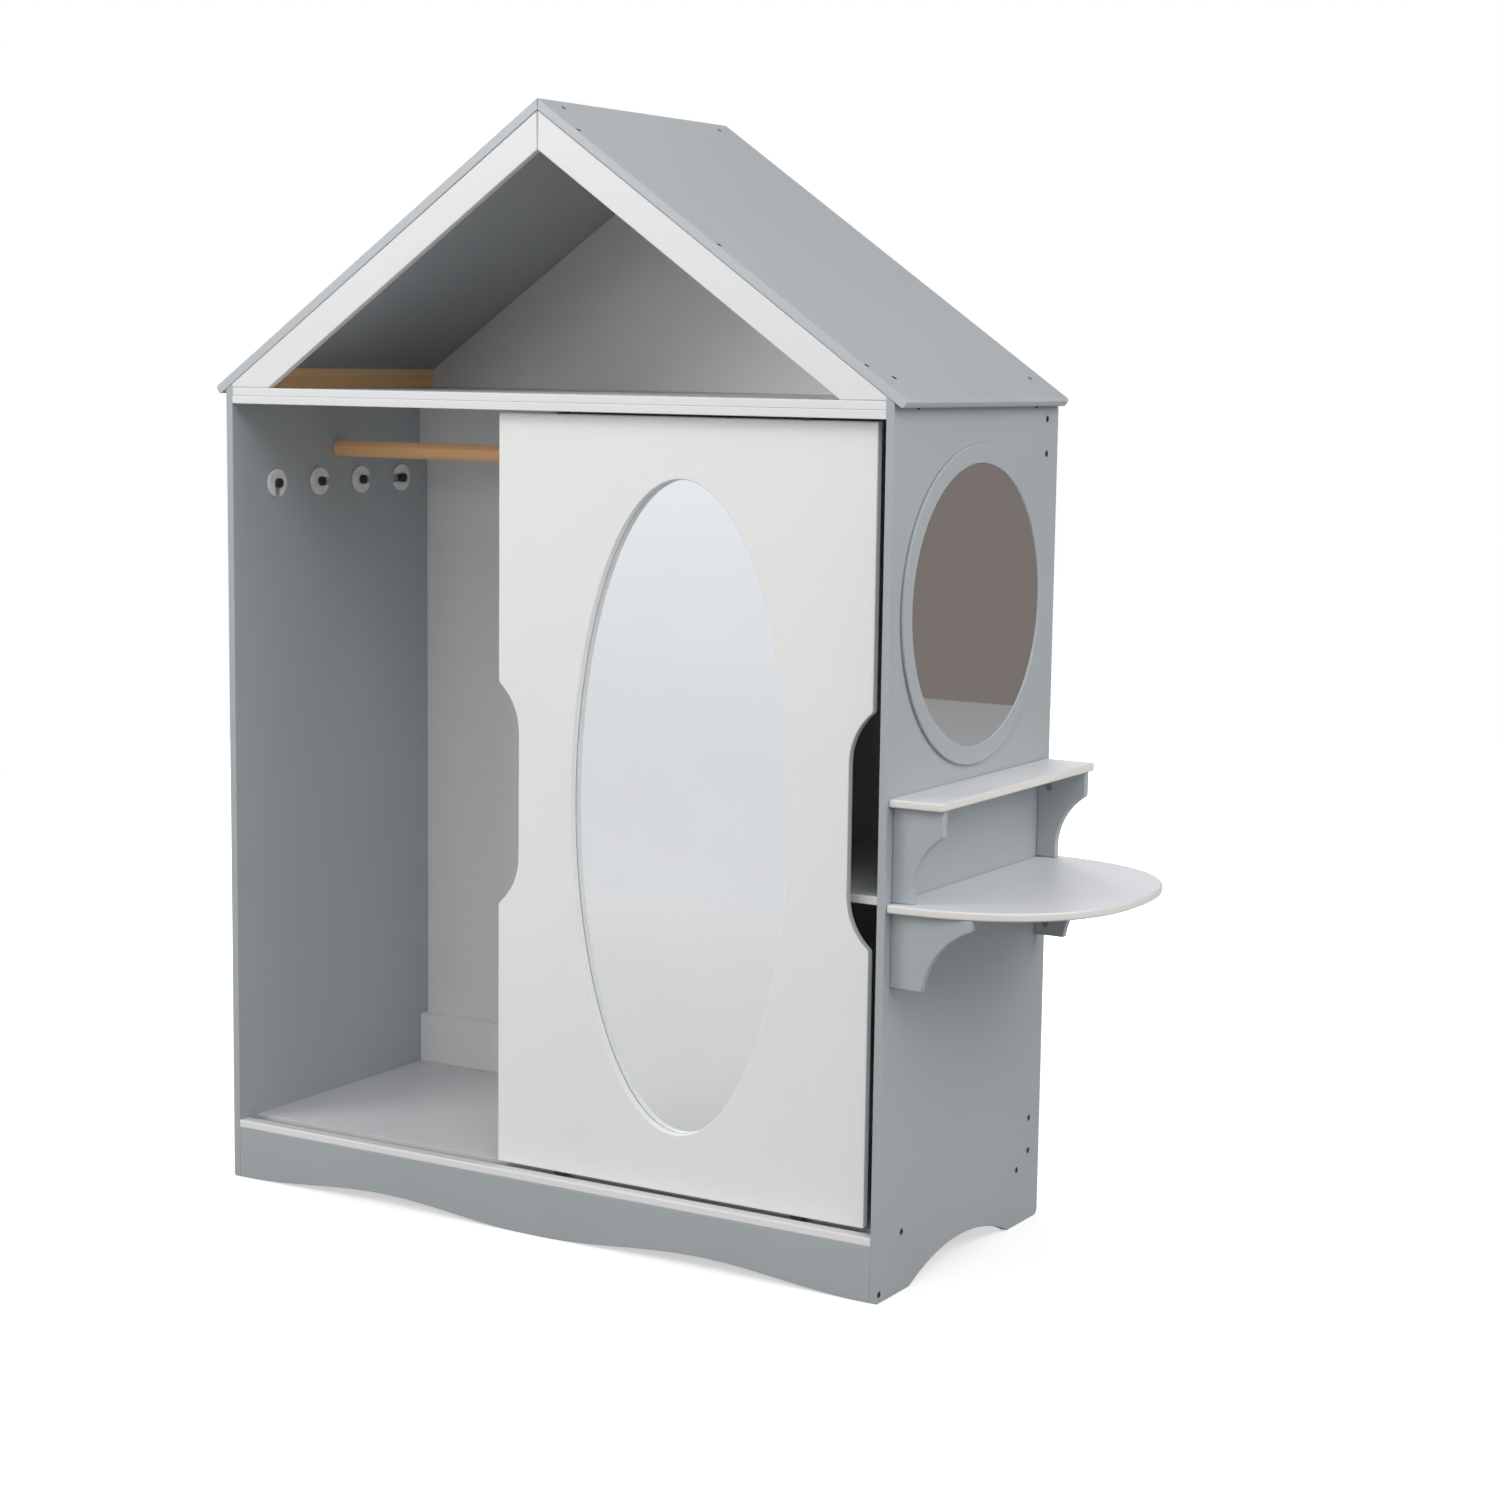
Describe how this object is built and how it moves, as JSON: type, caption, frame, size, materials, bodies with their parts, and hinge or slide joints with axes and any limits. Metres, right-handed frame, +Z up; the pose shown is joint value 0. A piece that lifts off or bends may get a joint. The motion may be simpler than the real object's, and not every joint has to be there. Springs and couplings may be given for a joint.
{
  "type": "dress up storage unit with mirror",
  "caption": "House-shaped children's wardrobe with a sliding mirror door, a hanging bay, cubbies, a roof shelf and a side vanity with a round mirror.",
  "frame": {"origin": "centre of the whole unit's footprint, vanity table and eaves included, on the floor", "axes": "+Z up, -Y out of the open front, +X to the right towards the vanity"},
  "size_m": [1.247, 0.446, 1.4295],
  "materials": {
    "grey_paint": "grey-blue paint on fibreboard, satin",
    "white_paint": "white paint on fibreboard, satin",
    "door_paint": "warm white paint on fibreboard, matt",
    "bare_wood": "clear-lacquered pine, satin",
    "fibreboard": "raw fibreboard, matt",
    "mirror_glass": "silvered glass",
    "clear_plastic": "clear moulded plastic, gloss",
    "black_plastic": "black moulded plastic, semi-gloss",
    "dark_nylon": "dark nylon, matt",
    "dark_steel": "blackened steel, satin"
  },
  "bodies": {
    "cabinet": {"left_side_panel": "grey_paint", "right_side_panel": "grey_paint", "bottom_shelf": "white_paint", "front_apron": "grey_paint", "attic_floor": "white_paint", "top_track_rail": "white_paint", "back_panel": "white_paint", "back_top_rail": "white_paint", "back_bottom_rail": "white_paint", "divider_panel": "white_paint", "cubby_shelf": "white_paint", "cubby_shelf_dowels": "bare_wood", "hanging_rod": "bare_wood", "rod_bolts": "dark_steel", "hook_discs": "clear_plastic", "hook_knobs": "black_plastic", "carcass_bolts": "dark_steel", "divider_screws": "dark_steel", "back_panel_screws": "dark_steel", "roof_panel_left": "grey_paint", "roof_panel_right": "grey_paint", "rake_board_left": "white_paint", "rake_board_right": "white_paint", "gable_back_panel": "white_paint", "ridge_cleat": "bare_wood", "eave_cleat_left": "bare_wood", "eave_cleat_right": "bare_wood", "roof_wedge_left": "bare_wood", "roof_wedge_right": "bare_wood", "roof_screws": "dark_steel", "side_mirror_ring": "grey_paint", "side_mirror_glass": "mirror_glass", "vanity_table": "white_paint", "vanity_shelf": "white_paint", "bracket_upper_front": "grey_paint", "bracket_upper_rear": "grey_paint", "bracket_lower_front": "grey_paint", "bracket_lower_rear": "grey_paint", "bracket_barrel_nuts": "dark_steel", "bracket_bolts": "dark_steel", "vanity_dowels": "bare_wood"},
    "door": {"door_panel": "door_paint", "door_mirror": "mirror_glass", "door_mirror_spacer": "fibreboard", "door_mirror_backing": "fibreboard", "backing_screws": "dark_steel", "roller_housing_left": "dark_nylon", "roller_housing_right": "dark_nylon", "roller_axle_left": "dark_steel", "roller_axle_right": "dark_steel", "top_guide_left": "dark_nylon", "top_guide_right": "dark_nylon"},
    "roller_left": {"roller_wheel_left": "dark_nylon"},
    "roller_right": {"roller_wheel_right": "dark_nylon"}
  },
  "joints": [
    {"name": "door_slide", "type": "slide", "parent": "cabinet", "child": "door", "axis": [1, 0, 0], "range_m": [-0.4175, 0.0195]},
    {"name": "roller_left_spin", "type": "hinge", "parent": "door", "child": "roller_left", "pos_m": [-0.0835, -0.19775, 0.0873], "axis": [0, 1, 0], "continuous": true},
    {"name": "roller_right_spin", "type": "hinge", "parent": "door", "child": "roller_right", "pos_m": [0.2665, -0.19775, 0.0873], "axis": [0, 1, 0], "continuous": true}
  ],
  "couplings": [
    {"joint": "roller_left_spin", "follows": "door_slide", "rad_per_m": 90.909},
    {"joint": "roller_right_spin", "follows": "door_slide", "rad_per_m": 90.909}
  ]
}
